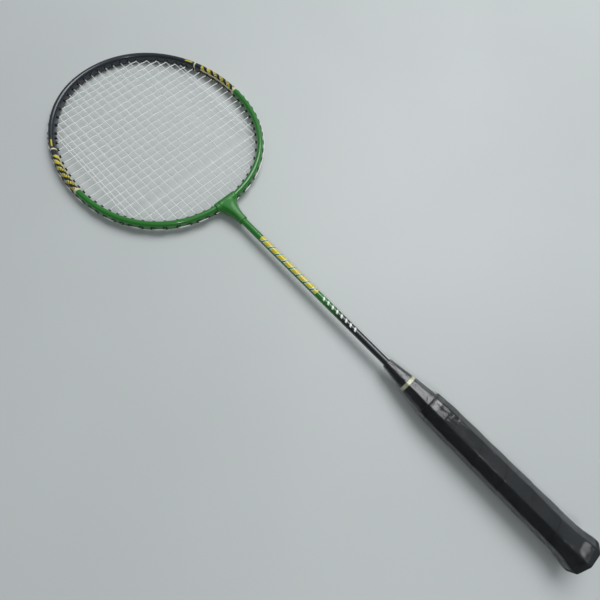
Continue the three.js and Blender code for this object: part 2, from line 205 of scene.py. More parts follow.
def closed_profile(x, radius):
    """Adds a ring of no radius at both ends of a loft, so that it closes on its axis."""
    x = np.concatenate([[x[0]], x, [x[-1]]])
    none = np.zeros((1, radius.shape[1]))
    return loft(x, np.concatenate([none, radius, none]))


# ---------------------------------------------------------------- shader helpers

def linear(r, g, b):
    """A colour given as 0 to 255 display values, as linear light."""
    c = np.array([r, g, b]) / 255
    return (*np.where(c <= 0.04045, c / 12.92, ((c + 0.055) / 1.055) ** 2.4).tolist(), 1.0)


def node(tree, kind, inputs=None, **settings):
    """Adds a shader node; an input is either a plain value or another node's socket."""
    made = tree.nodes.new("ShaderNode" + kind)
    for key, value in settings.items():
        setattr(made, key, value)
    for key, value in (inputs or {}).items():
        value = value.socket if isinstance(value, Wire) else value
        if isinstance(value, bpy.types.NodeSocket):
            tree.links.new(value, made.inputs[key])
        else:
            made.inputs[key].default_value = value
    return made


class Wire:
    """A number carried by a socket, with arithmetic that adds the Math nodes for it."""

    def __init__(self, tree, socket):
        self.tree, self.socket = tree, socket

    def math(self, operation, *others):
        values = {0: self} | {k + 1: other for k, other in enumerate(others)}
        return Wire(self.tree, node(self.tree, "Math", values, operation=operation).outputs[0])

    def __add__(self, other):
        return self.math("ADD", other)

    def __sub__(self, other):
        return self.math("SUBTRACT", other)

    def __mul__(self, other):
        return self.math("MULTIPLY", other)

    def __truediv__(self, other):
        return self.math("DIVIDE", other)

    def size(self):
        return self.math("ABSOLUTE")

    def fraction(self):
        return self.math("FRACT")

    def ramp(self, low, high, start=0.0, end=1.0):
        values = {"Value": self, "From Min": low, "From Max": high, "To Min": start, "To Max": end}
        made = node(self.tree, "MapRange", values, interpolation_type="SMOOTHSTEP")
        return Wire(self.tree, made.outputs[0])

    def within(self, low, high, soft):
        """1 between low and high, fading over soft."""
        rise = self.ramp(low - soft, low + soft)
        return rise * self.ramp(high - soft, high + soft, 1.0, 0.0)


def blend(tree, mask, below, above):
    """Colour above where the mask is 1, below where it is 0."""
    made = node(tree, "Mix", {0: mask, 6: below, 7: above}, data_type="RGBA")
    return made.outputs[2]


def noise(tree, vector, scale, detail=3.0, roughness=0.5):
    values = {"Vector": vector, "Scale": scale, "Detail": detail, "Roughness": roughness}
    return Wire(tree, node(tree, "TexNoise", values).outputs[0])


def new_group(name, inputs, outputs):
    """A shader node group with named number, vector or colour sockets."""
    tree = bpy.data.node_groups.new(name, "ShaderNodeTree")
    for title, (kind, default) in inputs.items():
        socket = tree.interface.new_socket(title, in_out="INPUT", socket_type=kind)
        if default is not None:
            socket.default_value = default
    for title, kind in outputs.items():
        tree.interface.new_socket(title, in_out="OUTPUT", socket_type=kind)
    return tree, tree.nodes.new("NodeGroupInput"), tree.nodes.new("NodeGroupOutput")


NUMBER, VECTOR, COLOUR = "NodeSocketFloat", "NodeSocketVector", "NodeSocketColor"


def make_surface_group():
    """Unevenness that every finish has: a tone that drifts slowly, a roughness that varies, and
    a fine relief. Relief is metres deep."""
    inputs = {"Scale": (NUMBER, 400.0), "Relief": (NUMBER, 0.00002), "Roughness": (NUMBER, 0.4),
              "Variation": (NUMBER, 0.06), "Colour": (COLOUR, (0.5, 0.5, 0.5, 1.0)),
              "Drift": (NUMBER, 0.08)}
    outputs = {"Colour": COLOUR, "Roughness": NUMBER, "Normal": VECTOR}
    tree, given, made = new_group("uneven_surface", inputs, outputs)
    where = node(tree, "TexCoord").outputs["Object"]
    coarse = noise(tree, where, 34.0, 4.0)
    fine = noise(tree, where, given.outputs["Scale"], 3.0)
    drift = Wire(tree, given.outputs["Drift"])
    value = (coarse - 0.5) * drift * 2.0 + 1.0
    toned = node(tree, "HueSaturation", {"Color": given.outputs["Colour"], "Value": value})
    rough = (coarse - 0.5) * Wire(tree, given.outputs["Variation"]) * 2.0
    rough = rough + given.outputs["Roughness"]
    relief = node(tree, "Bump", {"Height": fine, "Distance": given.outputs["Relief"]})
    tree.links.new(toned.outputs[0], made.inputs["Colour"])
    tree.links.new(rough.socket, made.inputs["Roughness"])
    tree.links.new(relief.outputs[0], made.inputs["Normal"])
    return tree


def make_slash_group():
    """A row of slanted bars along u: 1 inside a bar, 0 between. Slant moves a bar along as v
    grows, and Fray breaks up its edges."""
    inputs = {"Along": (NUMBER, 0.0), "Around": (NUMBER, 0.0), "Pitch": (NUMBER, 1.0),
              "Width": (NUMBER, 0.5), "Slant": (NUMBER, 0.0), "Fray": (NUMBER, 0.0),
              "Soft": (NUMBER, 0.02)}
    tree, given, made = new_group("slashes", inputs, {"Mask": NUMBER, "Phase": NUMBER})
    wire = {title: Wire(tree, given.outputs[title]) for title in inputs}
    where = node(tree, "TexCoord").outputs["Object"]
    fray = (noise(tree, where, 260.0, 5.0, 0.65) - 0.5) * wire["Fray"]
    phase = ((wire["Along"] + wire["Around"] * wire["Slant"] + fray) / wire["Pitch"]).fraction()
    rise = phase.ramp(0.0, wire["Soft"])
    fall = phase.ramp(wire["Width"] - wire["Soft"], wire["Width"], 1.0, 0.0)
    tree.links.new((rise * fall).socket, made.inputs["Mask"])
    tree.links.new(phase.socket, made.inputs["Phase"])
    return tree


SURFACE = make_surface_group()
SLASHES = make_slash_group()


def new_material(name, **sockets):
    """A Principled material with plain values on the shader's own sockets."""
    material = bpy.data.materials.new(name)
    material.use_nodes = True
    shader = material.node_tree.nodes["Principled BSDF"]
    for title, value in sockets.items():
        shader.inputs[title.replace("_", " ")].default_value = value
    return material, material.node_tree, shader


def finish_surface(tree, shader, colour, roughness, scale=400.0, relief=2e-5, variation=0.06,
                   drift=0.08):
    """Feeds colour, roughness and relief through the uneven-surface group."""
    values = {"Colour": colour, "Roughness": roughness, "Scale": scale, "Relief": relief,
              "Variation": variation, "Drift": drift}
    group = node(tree, "Group", node_tree=SURFACE)
    for title, value in values.items():
        value = value.socket if isinstance(value, Wire) else value
        if isinstance(value, bpy.types.NodeSocket):
            tree.links.new(value, group.inputs[title])
        else:
            group.inputs[title].default_value = value
    tree.links.new(group.outputs["Colour"], shader.inputs["Base Color"])
    tree.links.new(group.outputs["Roughness"], shader.inputs["Roughness"])
    tree.links.new(group.outputs["Normal"], shader.inputs["Normal"])


def slashes(tree, along, around, pitch, width, slant, fray=0.0, soft=0.04):
    group = node(tree, "Group", node_tree=SLASHES)
    values = {"Along": along, "Around": around, "Pitch": pitch, "Width": width, "Slant": slant,
              "Fray": fray, "Soft": soft}
    for title, value in values.items():
        if isinstance(value, Wire):
            tree.links.new(value.socket, group.inputs[title])
        else:
            group.inputs[title].default_value = value
    return Wire(tree, group.outputs["Mask"]), Wire(tree, group.outputs["Phase"])


def own_map(tree):
    """The piece's own (u, v) as two numbers."""
    split = node(tree, "SeparateXYZ", {0: node(tree, "UVMap", uv_map="UVMap").outputs[0]})
    return Wire(tree, split.outputs[0]), Wire(tree, split.outputs[1])


# ---------------------------------------------------------------- finishes

GREEN = linear(36, 122, 36)
NAVY = linear(30, 38, 48)
YELLOW = linear(214, 196, 28)
CREAM = linear(222, 222, 186)
WHITE = linear(232, 236, 232)
BLACK = linear(20, 24, 29)


def head_paint():
    """Green up to about half way along the head, navy round the tip, and between them a plain
    band of slanted black and yellow slashes with cream keylines."""
    material, tree, shader = new_material("head_paint", Coat_Weight=0.6, Coat_Roughness=0.12)
    u, v = own_map(tree)
    turn = (u - 0.5) * 360.0
    away = turn.size()
    around = v * 360.0
    colour = blend(tree, away.ramp(94.6, 95.4), NAVY, GREEN)
    bars, phase = slashes(tree, away, around, 4.6, 0.5, -0.035, 2.6)
    streaks, _ = slashes(tree, away, around, 1.9, 0.42, 0.05, 2.8)
    art = blend(tree, bars, YELLOW, BLACK)
    art = blend(tree, phase.within(0.52, 0.62, 0.02), art, CREAM)
    art = blend(tree, streaks * away.ramp(72.0, 83.0) * 0.9, art, BLACK)
    art = blend(tree, around.within(146.0, 166.0, 3.0), art, CREAM)
    art = blend(tree, around.within(168.0, 192.0, 3.0), art, BLACK)
    art = blend(tree, away.within(93.6, 95.4, 0.2), art, CREAM)
    colour = blend(tree, away.within(71.0, 95.0, 0.25), colour, art)
    colour = blend(tree, away.within(66.3, 67.2, 0.15), colour, CREAM)
    sliver = away.within(60.5, 65.0, 0.5) * (around + away * 1.2).within(160.0, 182.0, 4.0)
    colour = blend(tree, sliver, colour, YELLOW)
    finish_surface(tree, shader, colour, 0.34, 900.0, 1.2e-5, 0.05, 0.06)
    return material


def shaft_paint():
    """Green that fades to black towards the handle, with a row of yellow slashes that have
    white keylines, and a row of small white ticks behind them, on the upper side."""
    material, tree, shader = new_material("shaft_paint", Coat_Weight=0.6, Coat_Roughness=0.15)
    u, v = own_map(tree)
    around = v * 360.0
    frayed = u + (noise(tree, node(tree, "TexCoord").outputs["Object"], 300.0) - 0.5) * 14.0
    colour = blend(tree, frayed.ramp(FADE_START, FADE_END), BLACK, GREEN)
    block, phase = slashes(tree, u, around, 9.75, 0.86, 0.045, 0.0, 0.02)
    edge = around.within(40.0, 146.0, 3.0)
    zone = u.within(SLASH_START, SLASH_END, 0.25)
    inside = block * around.within(47.0, 139.0, 3.0) * phase.within(0.08, 0.78, 0.02)
    white = block * edge * zone
    colour = blend(tree, white, colour, WHITE)
    colour = blend(tree, inside * zone, colour, YELLOW)
    ticks, _ = slashes(tree, u, around, 5.8, 0.4, -0.03, 0.0, 0.05)
    ticks = ticks * around.within(62.0, 122.0, 3.0) * u.within(TICK_START, TICK_END, 0.3)
    colour = blend(tree, ticks, colour, WHITE)
    finish_surface(tree, shader, colour, 0.32, 900.0, 1e-5, 0.05, 0.05)
    return material


def cone_plastic():
    """Black moulded plastic with one plain cream ring."""
    material, tree, shader = new_material("cone_plastic", Coat_Weight=0.15, Coat_Roughness=0.2)
    u, _ = own_map(tree)
    colour = blend(tree, u.within(186.0, 189.2, 0.2), linear(30, 34, 38), CREAM)
    finish_surface(tree, shader, colour, 0.4, 500.0, 2e-5)
    return material


def grip_rubber():
    """Black wrap with a fine pebble, paler along the raised edge of each turn."""
    material, tree, shader = new_material("grip_rubber")
    u, v = own_map(tree)
    where = node(tree, "TexCoord").outputs["Object"]
    pebble = node(tree, "TexVoronoi", {"Vector": where, "Scale": 1500.0}, feature="F1")
    pebble = Wire(tree, pebble.outputs[0])
    turn = (u / SPIRAL_PITCH - v).fraction()
    colour = blend(tree, turn.within(0.0, 0.07, 0.03), linear(20, 25, 29), linear(8, 11, 15))
    colour = blend(tree, pebble.ramp(0.1, 0.5) * 0.3, colour, linear(30, 36, 41))
    finish_surface(tree, shader, colour, 0.75, 700.0, 4e-5, 0.08, 0.12)
    relief = node(tree, "Bump", {"Height": pebble, "Distance": 0.00012, "Strength": 0.8})
    tree.links.new(relief.outputs[0], shader.inputs["Normal"])
    return material


def clear_film():
    """Thin clear film with a faint haze."""
    material, tree, shader = new_material(
        "clear_film", Transmission_Weight=1.0, IOR=1.28, Base_Color=(1.0, 1.0, 1.0, 1.0))
    where = node(tree, "TexCoord").outputs["Object"]
    haze = noise(tree, where, 120.0, 4.0).ramp(0.35, 0.75, 0.02, 0.1)
    tree.links.new(haze.socket, shader.inputs["Roughness"])
    creases = noise(tree, where, 240.0, 3.0)
    relief = node(tree, "Bump", {"Height": creases, "Distance": 0.0006, "Strength": 0.6})
    tree.links.new(relief.outputs[0], shader.inputs["Normal"])
    return material


def string_nylon():
    """White string with fine darker helical stripes along it: painted shade in the grooves of its
    helix.
    """
    material, tree, shader = new_material("string_nylon", Coat_Weight=0.3)
    u, v = own_map(tree)
    # painted shade: the darker part of each helical stripe stands for shade in the string's grooves
    twist_groove_shade = (u * 2400.0 + v * 2.0).fraction().ramp(0.0, 1.0)
    colour = blend(tree, twist_groove_shade * 0.25, linear(250, 251, 250), linear(226, 229, 227))
    finish_surface(tree, shader, colour, 0.38, 900.0, 1e-5, 0.04, 0.03)
    return material


def plain_finish(name, colour, roughness, scale=400.0, relief=2e-5, drift=0.08, **sockets):
    material, tree, shader = new_material(name, **sockets)
    finish_surface(tree, shader, colour, roughness, scale, relief, 0.06, drift)
    return material


def handle_wood():
    """Pale timber with the grain along the handle."""
    material, tree, shader = new_material("handle_wood")
    where = node(tree, "TexCoord").outputs["Object"]
    stretched = node(tree, "Mapping", {"Vector": where, "Scale": (12.0, 160.0, 160.0)})
    grain = noise(tree, stretched.outputs[0], 3.0, 6.0, 0.6)
    colour = blend(tree, grain.ramp(0.3, 0.7), linear(206, 172, 120), linear(160, 118, 70))
    finish_surface(tree, shader, colour, 0.7, 300.0, 4e-5)
    return material


# ---------------------------------------------------------------- the head's outline

def fuller(value):
    return np.sign(value) * np.abs(value) ** (2 / HEAD_FULLNESS)


def head_line(t):
    """Middle line of the head tube: x = centre + a·C and y = b·S·(1 - egg·C), where C and S are
    the cosine and sine of t raised to 2/fullness with their signs kept."""
    c, s = fuller(np.cos(t)), fuller(np.sin(t))
    x = HEAD_CENTRE + HEAD_HALF_LENGTH * c
    y = HEAD_HALF_WIDTH * s * (1 - HEAD_EGG * c)
    return np.stack([x, y, np.zeros_like(x)], -1)


def head_normal(t):
    """Level direction out of the head, square to its middle line."""
    ahead = head_line(t + 1e-3) - head_line(t - 1e-3)
    ahead /= np.linalg.norm(ahead, axis=-1, keepdims=True)
    return np.stack([ahead[..., 1], -ahead[..., 0], np.zeros_like(ahead[..., 0])], -1)


def head_point(t, reach=0.0, z=0.0):
    """Middle line + reach·normal, raised by z."""
    t = np.asarray(t, float)
    return head_line(t) + head_normal(t) * np.asarray(reach)[..., None] + \
        np.asarray(z)[..., None] * np.array([0.0, 0.0, 1.0])


def along_head(t, half_width, half_height, sides, fullness=TUBE_FULLNESS):
    """Oval section carried along the middle line: reach = w·cos a and z = h·sin a, each raised
    to 2/fullness with its sign kept."""
    a = np.linspace(0, 2 * math.pi, sides, endpoint=False)
    c = np.sign(np.cos(a)) * np.abs(np.cos(a)) ** (2 / fullness)
    s = np.sign(np.sin(a)) * np.abs(np.sin(a)) ** (2 / fullness)
    half_width, half_height = (np.broadcast_to(h, t.shape)[:, None]
                               for h in (half_width, half_height))
    return head_point(np.repeat(t[:, None], sides, 1), half_width * c, half_height * s)


# ---------------------------------------------------------------- string pattern

def hole_angles():
    """Angles of every hole on the side where y is positive: each main and each cross is followed
    to the head's inner wall, and at the corners a main and a cross share their mean angle."""
    t = np.linspace(0.0, math.pi, 20001)
    inner = head_point(t, -INNER_REACH)
    widest = np.argmax(inner[:, 1])
    k = np.arange(MAINS_PER_SIDE) + 0.5
    main_y = MAIN_PITCH * k - MAIN_TAPER * k ** 2
    cross_x = HEAD_CENTRE + CROSS_PITCH * (np.arange(CROSS_COUNT) - (CROSS_COUNT - 1) / 2)
    tip = np.interp(main_y, inner[:widest, 1], t[:widest])
    throat = np.interp(main_y, inner[:widest:-1, 1], t[:widest:-1])
    cross = np.interp(-cross_x, -inner[:, 0], t)
    corner = np.arange(SHARED_PER_CORNER)
    mains = FIRST_SHARED_MAIN + corner
    last = CROSS_COUNT - 1 - corner
    throat[mains] = cross[corner] = (throat[mains] + cross[corner]) / 2
    tip[mains] = cross[last] = (tip[mains] + cross[last]) / 2
    throat[-1] = (cross[SHARED_PER_CORNER - 1] + cross[SHARED_PER_CORNER]) / 2
    inward = CROSS_COUNT - 1 - SHARED_PER_CORNER
    tip[-1] = (cross[inward] + cross[inward + 1]) / 2
    return main_y, cross_x, throat, tip, cross


MAIN_Y, CROSS_X, THROAT, TIP, CROSS = hole_angles()
ALL_MAIN_Y = np.concatenate([-MAIN_Y[::-1], MAIN_Y])


def weave(points, over):
    """Rise of a string at each point: over · rise · cos(pi·m)·cos(pi·j), where m and j count
    mains and crosses, so mains and crosses pass over and under each other in turn."""
    m = np.interp(points[:, 1], ALL_MAIN_Y, np.arange(2 * MAINS_PER_SIDE))
    j = (points[:, 0] - CROSS_X[0]) / CROSS_PITCH
    bed = smoothstep(-0.4, 0.1, j) * smoothstep(-0.4, 0.1, CROSS_COUNT - 1 - j)
    return over * WEAVE_RISE * bed * np.cos(math.pi * m) * np.cos(math.pi * j)


def string_run(start, end, over, step=2.1):
    """A straight run between two holes that weaves, with its two ends out through the tube."""
    a, b = head_point(start, -INNER_REACH), head_point(end, -INNER_REACH)
    count = int(np.linalg.norm(b - a) / step)
    share = np.linspace(0, 1, count)[:, None]
    run = a + (b - a) * share
    run[:, 2] = weave(run, over) * smoothstep(0, 0.02, share[:, 0]) * \
        smoothstep(0, 0.02, 1 - share[:, 0])
    out = [head_point(start, r) for r in (LINK_REACH, LINK_REACH - 0.5)]
    back = [head_point(end, r) for r in (LINK_REACH - 0.5, LINK_REACH)]
    return np.concatenate([out, run, back])


def string_link(start, end):
    """Outside the head from one hole to the next, bowed to follow the tube."""
    t = np.linspace(start, end, 9)[1:-1]
    return head_point(t, LINK_REACH)


def string_path(runs, over):
    """Runs to and fro in turn, joined by links outside the head."""
    pieces = []
    for k, (start, end) in enumerate(runs):
        start, end = (end, start) if k % 2 else (start, end)
        if pieces:
            pieces.append(string_link(left_at, start))
        pieces.append(string_run(start, end, over))
        left_at = end
    return np.concatenate(pieces)


# ---------------------------------------------------------------- pieces of the head

GREEN_PLASTIC = plain_finish("tee_paint", GREEN, 0.5, 700.0, 3e-5, 0.08,
                             Coat_Weight=0.3, Coat_Roughness=0.1)
NYLON = string_nylon()
GROMMET = plain_finish("grommet_nylon", linear(18, 20, 22), 0.5, 600.0, 2e-5)

HEAD_STEPS, HEAD_SIDES = 540, 36
t = np.linspace(-math.pi, math.pi, HEAD_STEPS, endpoint=False)
head = along_head(t, TUBE_HALF_WIDTH, TUBE_HALF_HEIGHT, HEAD_SIDES)
build("head_frame", [grid(head, closed_u=True)], head_paint(), ["head_tube"])


def tee_width(x):
    """Half width of the tee's stem: narrow at the shaft, flaring as s^2.4 into the arms."""
    s = np.clip((x - STEM_END) / 25.0, 0, 1)
    return 4.55 + 6.4 * s ** 2.4


def make_tee():
    """The stem is a boxy loft that flares into a sleeve round the head tube. Both are remeshed
    into one casting, softened, and a flat panel is raised on each face."""
    x = np.concatenate([[STEM_END], np.linspace(STEM_END, 436.0, 60)])
    a = np.linspace(0, 2 * math.pi, 64, endpoint=False)
    c = np.sign(np.cos(a)) * np.abs(np.cos(a)) ** (2 / 2.5)
    s = np.sign(np.sin(a)) * np.abs(np.sin(a)) ** (2 / 2.5)
    w = tee_width(x)
    h = 4.5 + 1.75 * smoothstep(STEM_END, 430.0, x)
    w[0] = h[0] = 0.0
    stem = np.stack([np.repeat(x[:, None], 64, 1), w[:, None] * c, h[:, None] * s], -1)
    stem = np.concatenate([stem, np.repeat(stem[-1:].mean(1, keepdims=True), 64, 1)])
    reach = math.asin(TEE_HALF_WIDTH / HEAD_HALF_WIDTH)
    t = math.pi + np.linspace(-reach, reach, 40)
    grow = 1.15 * smoothstep(0.0, 0.1, 1 - np.abs(np.linspace(-1, 1, 40)))
    sleeve = along_head(t, TUBE_HALF_WIDTH + 0.15 + grow, TUBE_HALF_HEIGHT + 0.1 + grow, 48, 2.4)
    ends = [np.repeat(sleeve[k][None].mean(1, keepdims=True), 48, 1) for k in (0, -1)]
    sleeve = np.concatenate([ends[0], sleeve, ends[1]])
    piece = build("tee_casting", [grid(stem), grid(sleeve)], GREEN_PLASTIC,
                  ["tee_joint"])
    remesh = piece.modifiers.new("cast", "REMESH")
    remesh.mode = "VOXEL"
    remesh.voxel_size = 0.00035
    soften = piece.modifiers.new("soften", "SMOOTH")
    soften.factor = 0.5
    soften.iterations = 9
    graph = bpy.context.evaluated_depsgraph_get()
    mesh = bpy.data.meshes.new_from_object(piece.evaluated_get(graph))
    piece.modifiers.clear()
    old, piece.data = piece.data, mesh
    bpy.data.meshes.remove(old)
    count = len(mesh.vertices)
    flat = np.zeros(count * 3, np.float32)
    mesh.vertices.foreach_get("co", flat)
    local = (flat.reshape(-1, 3).astype(float) - BUTT) @ LIE.T * 1000
    inset = tee_width(local[:, 0]) * 0.66 - np.abs(local[:, 1])
    panel = smoothstep(-0.1, 0.35, inset) * smoothstep(409.5, 411.0, local[:, 0])
    local[:, 2] += 0.5 * panel * np.sign(local[:, 2]) * smoothstep(2.0, 3.5, np.abs(local[:, 2]))
    mesh.vertices.foreach_set("co", lay(local).astype(np.float32).ravel())
    mesh.polygons.foreach_set("use_smooth", np.ones(len(mesh.polygons), bool))
    mesh.update()
    return piece


make_tee()


def make_grommets():
    """Barrel with a rounded nub inside the head and an oval flange outside: a closed profile of
    (radius, distance out) turned about each hole's own axis and stretched along the tube."""
    inner, outer = -TUBE_HALF_WIDTH - GROMMET_NUB, TUBE_HALF_WIDTH
    profile = np.array([
        [0.75, inner], [1.25, inner + 0.02], [1.42, inner + 0.25], [1.48, inner + 1.2],
        [1.5, outer - 0.1], [2.05, outer - 0.05], [2.2, outer + 0.2], [2.1, outer + 0.5],
        [1.3, outer + 0.62], [0.8, outer + 0.45]])
    sides = 16
    a = np.linspace(0, 2 * math.pi, sides, endpoint=False)
    side_angles = np.unique(np.concatenate([THROAT[1:], TIP, CROSS]).round(9))
    angles = np.concatenate([side_angles, -side_angles])
    out = head_normal(angles)
    up = np.array([0.0, 0.0, 1.0])
    ahead = np.cross(up, out)
    stretch = 1 + 0.22 * smoothstep(outer - 0.2, outer, profile[:, 1])
    level = (profile[:, :1] * np.cos(a) * stretch[:, None])[None, :, :, None]
    upward = (profile[:, :1] * np.sin(a))[None, :, :, None]
    turned = [head_line(angles)[:, None, None] + profile[None, :, None, 1:] * out[:, None, None],
              level * ahead[:, None, None],
              upward * up]
    rings = sum(turned)
    nodes = [f"grommets_{side}_{k}" for side in ("left", "right") for k in range(1, 5)]
    return build("grommets", [grid(r, closed_u=True) for r in rings], GROMMET,
                 nodes)


make_grommets()

half_runs = list(zip(THROAT, TIP))
main_runs = [(-a, -b) for a, b in reversed(half_runs)] + half_runs
cross_runs = [(a, -a) for a in CROSS]
mains = string_path(main_runs, 1.0)
crosses = string_path(cross_runs, -1.0)
build("main_string_woven", [grid(tube(mains, STRING_RADIUS, 6))], NYLON,
      ["main_strings"], sharp=80)
build("cross_string_woven", [grid(tube(crosses, STRING_RADIUS, 6))], NYLON,
      ["cross_strings"], sharp=80)


def make_knot(name, node_name):
    """A tie-off: two and a half tight turns round a run, with a short tail."""
    low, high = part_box(node_name)
    centre = ((np.array(low) + np.array(high)) / 2 - BUTT) @ LIE.T * 1000
    along_x = abs(high[0] - low[0]) < abs(high[1] - low[1])
    s = np.linspace(0, 1, 60)
    a = s * 5 * math.pi
    run = (s - 0.5) * 2.2
    wide = 0.78 + 0.25 * smoothstep(0.9, 1.0, s)
    ring = np.stack([run, wide * np.cos(a), wide * np.sin(a)], -1)
    ring = ring if along_x else ring[:, [1, 0, 2]] * [1, 1, -1]
    build(name, [grid(tube(centre + ring, 0.34, 8))], NYLON, [node_name], sharp=80)


for name in ("main_knot_left", "main_knot_right", "cross_knot_tip", "cross_knot_throat"):
    make_knot("tied_" + name, name)

# ---------------------------------------------------------------- shaft and handle

SIDES = 128


def round_loft(x, radius, sides=SIDES):
    return loft(x, np.repeat(np.asarray(radius, float)[:, None], sides, 1))


def make_shaft():
    """Plain tube: outside and inside walls joined at both ends."""
    x = np.linspace(SHAFT_REAR, STEM_END + SHAFT_IN_TEE, 120)
    outside = round_loft(x, np.full(x.shape, SHAFT_RADIUS), 64)
    inside = round_loft(x[::-1], np.full(x.shape, SHAFT_RADIUS - SHAFT_WALL), 64)
    u = np.concatenate([x, x[::-1], x[:1]])
    build("shaft_tube", [grid(np.concatenate([outside, inside]), closed_u=True, u=u)],
          shaft_paint(), ["shaft"])


make_shaft()


def grip_half(x):
    """Half width across the flats along the handle: narrow at the cone, quickly full, slowly
    growing to the butt, then flaring to the rim."""
    knots = [0.3, 1.2, 4.0, 8.0, 13.0, 20.0, 80.0, 147.0, 158.0, 164.0]
    halves = [BUTT_HALF - 0.5, BUTT_HALF - 0.1, BUTT_HALF, 15.5, 14.2, 13.5, 13.15, 12.8, 12.1,
              11.5]
    return np.interp(x, knots, halves)


def make_grip():
    """Rounded octagon with a helical overlap: each turn rises 0.42 mm at its edge and tapers
    away over the turn."""
    x = np.concatenate([np.linspace(0.3, 14, 34), np.linspace(14.4, GRIP_LENGTH, 350)])
    a = np.linspace(0, 1, SIDES, endpoint=False)[None]
    turn = (x[:, None] / SPIRAL_PITCH - a) % 1
    ridge = 0.42 * smoothstep(0.0, 0.03, turn) * (1 - smoothstep(0.03, 0.75, turn)) + \
        0.18 * np.exp(-((turn - 0.05) / 0.03) ** 2)
    ridge *= smoothstep(2.0, 14.0, x)[:, None]
    outside = octagon(grip_half(x) - 0.25, SIDES) + ridge
    inner_x = np.linspace(GRIP_LENGTH, 0.3, 40)
    inner_half = np.interp(inner_x, [0, 4, 20, 147, 164], [15.3, 15.3, 11.8, 11.1, 9.8])
    inside = octagon(inner_half, SIDES)
    u = np.concatenate([x, inner_x, x[:1]])
    skin = np.concatenate([loft(x, outside), loft(inner_x, inside)])
    build("grip_spiral", [grid(skin, closed_u=True, u=u)], grip_rubber(),
          ["grip_wrap"], sharp=60)


make_grip()


def cone_radius(x):
    """Radius of the cone, growing as the 0.92 power of the distance from its tip."""
    share = np.clip((CONE_TIP - x) / (CONE_TIP - GRIP_LENGTH), 0, 1)
    return CONE_TIP_RADIUS + CONE_GROWTH * share ** 0.92


def make_cone():
    """Round at the shaft and eight-sided at the grip: r = (1 - m)·circle + m·octagon, where m
    grows with the distance from the tip. A thin lip closes on the shaft."""
    x = np.linspace(GRIP_LENGTH + 0.3, CONE_TIP, 90)
    share = (CONE_TIP - x) / (CONE_TIP - GRIP_LENGTH)
    size = cone_radius(x)
    m = smoothstep(0.0, 0.8, share)[:, None]
    outside = (1 - m) * size[:, None] + m * octagon(size * 0.985, SIDES, 90.0)
    lip_x = np.array([CONE_TIP, CONE_TIP, CONE_TIP - 6, GRIP_LENGTH + 8, GRIP_LENGTH + 0.3])
    lip = np.array([4.3, SHAFT_RADIUS + 0.3, SHAFT_RADIUS + 0.3, 7.6, 8.9])
    u = np.concatenate([x, lip_x, x[:1]])
    skin = np.concatenate([loft(x, outside), round_loft(lip_x, lip)])
    build("cone_moulding", [grid(skin, closed_u=True, u=u)], cone_plastic(),
          ["cone_cap"], sharp=35)


make_cone()


def make_band(name, rear, front, half_rear, half_front, thick, material, replaces):
    """A thin eight-sided ring with rounded edges."""
    x = np.array([rear, rear + 0.15, front - 0.15, front])
    half = np.interp(x, [rear, front], [half_rear, half_front])
    outside = octagon(half + thick * np.array([0.4, 1.0, 1.0, 0.4]), SIDES)
    inside = octagon(half[::-1], SIDES)
    skin = np.concatenate([loft(x, outside), loft(x[::-1], inside)])
    return build(name, [grid(skin, closed_u=True)], material, replaces, sharp=50)


TAPE = plain_finish("finishing_tape", linear(24, 27, 30), 0.32, 500.0, 2e-5, 0.05,
                    Coat_Weight=0.3)
make_band("grip_tape", GRIP_LENGTH - TAPE_WIDTH, GRIP_LENGTH, 12.15, 11.6, 0.3, TAPE,
          ["finishing_tape"])


def make_butt_disc():
    """Flat disc with a rounded edge and a shallow raised ring."""
    x = np.array([0.0, 0.0, 0.25, 0.25, 0.0, 0.0, 0.12, 0.5, 1.3])
    half = np.array([4.0, 7.6, 8.0, 9.6, 10.0, 14.2, 14.7, 14.9, 14.9])
    build("butt_plate", [grid(closed_profile(x, octagon(half, SIDES)))],
          plain_finish("butt_plastic", linear(22, 25, 28), 0.45, 420.0, 4e-5),
          ["butt_disc"], sharp=35)


make_butt_disc()


def film_creases(x, count=90, seed=11):
    """Sum of stretched bumps, each amplitude·exp(-(dx/length)² - (da/width)²), at random places
    along and round the film, with most of them along the upper edges of the handle."""
    draw = np.random.default_rng(seed)
    a = np.linspace(0, 360, SIDES, endpoint=False)
    centre_x = draw.uniform(4, 208, count)
    edges = np.array([22.5, 67.5, 112.5, 157.5, 202.5, 247.5, 292.5, 337.5])
    share = np.array([0.1, 0.46, 0.14, 0.06, 0.06, 0.06, 0.06, 0.06])
    centre_a = draw.choice(edges, count, p=share) + draw.normal(0, 7, count)
    length = draw.uniform(2.0, 9.0, count)
    width = draw.uniform(3.0, 9.0, count)
    amount = draw.uniform(-0.2, 0.45, count)
    dx = (x[:, None] - centre_x) / length
    da = ((a[:, None] - centre_a + 180) % 360 - 180) / width
    return (amount * np.exp(-dx ** 2)) @ np.exp(-da ** 2).T


def make_film():
    """Clear sleeve that follows the grip and the cone with a small slack, and is creased."""
    x = np.linspace(5.0, CONE_TIP - 1.0, 420)
    over_cone = cone_radius(x) + FILM_OVER_CONE
    over_grip = grip_half(np.minimum(x, GRIP_LENGTH)) + FILM_OVER_GRIP
    join = smoothstep(GRIP_LENGTH - 2, GRIP_LENGTH + 8, x)
    half = over_grip * (1 - join) + over_cone * join
    a = np.linspace(0, 360, SIDES, endpoint=False)
    turn = ((a - 350) + 180) % 360 - 180
    slack = 2.4 * np.exp(-((x[:, None] - 178) / 17) ** 2 - (turn / 42) ** 2)
    outside = octagon(half, SIDES, 40.0) + slack + np.clip(film_creases(x), -0.05, 1.0)
    outside = np.minimum(outside, octagon(np.full(x.shape, FILM_REACH), SIDES, 60.0))
    inside = outside[::-1] - FILM_THICKNESS
    skin = np.concatenate([loft(x, outside), loft(x[::-1], inside)])
    build("film_sleeve", [grid(skin, closed_u=True)], clear_film(),
          ["clear_sleeve"], sharp=70)


make_film()

